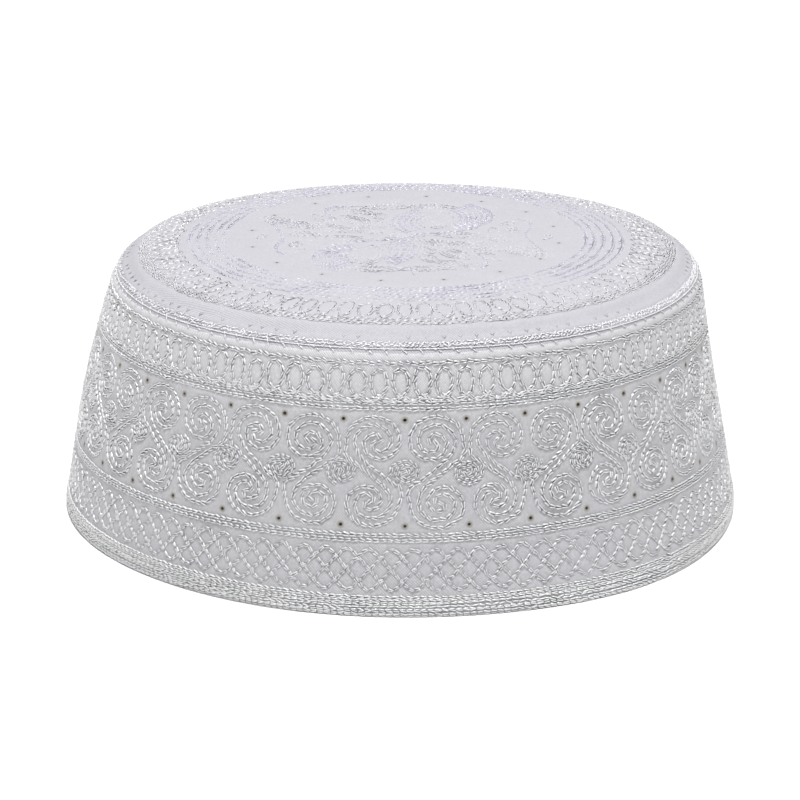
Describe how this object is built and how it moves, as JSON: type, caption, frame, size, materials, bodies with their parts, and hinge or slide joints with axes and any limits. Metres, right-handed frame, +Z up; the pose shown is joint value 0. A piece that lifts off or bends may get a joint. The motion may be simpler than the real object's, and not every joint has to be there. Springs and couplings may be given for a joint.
{
  "type": "embroidered prayer cap",
  "caption": "Stiff round cap with a flat crown lapped onto a tapered side band, both pierced with small punched eyelets and worked all over in white corded embroidery.",
  "frame": {"origin": "centre of the bounding box on the plane of the hem, where the cap stands", "axes": "+Z up through the crown, front towards -Y, +X to the right of someone who looks at the front"},
  "size_m": [0.1838, 0.1844, 0.0736],
  "materials": {
    "band_cotton": "matt fine cotton twill, pale bluish white, quilted stiff",
    "crown_cotton": "matt fine cotton twill, pale bluish white, quilted stiff"
  },
  "bodies": {
    "root": {"side_band": "band_cotton", "crown": "crown_cotton"}
  },
  "joints": []
}
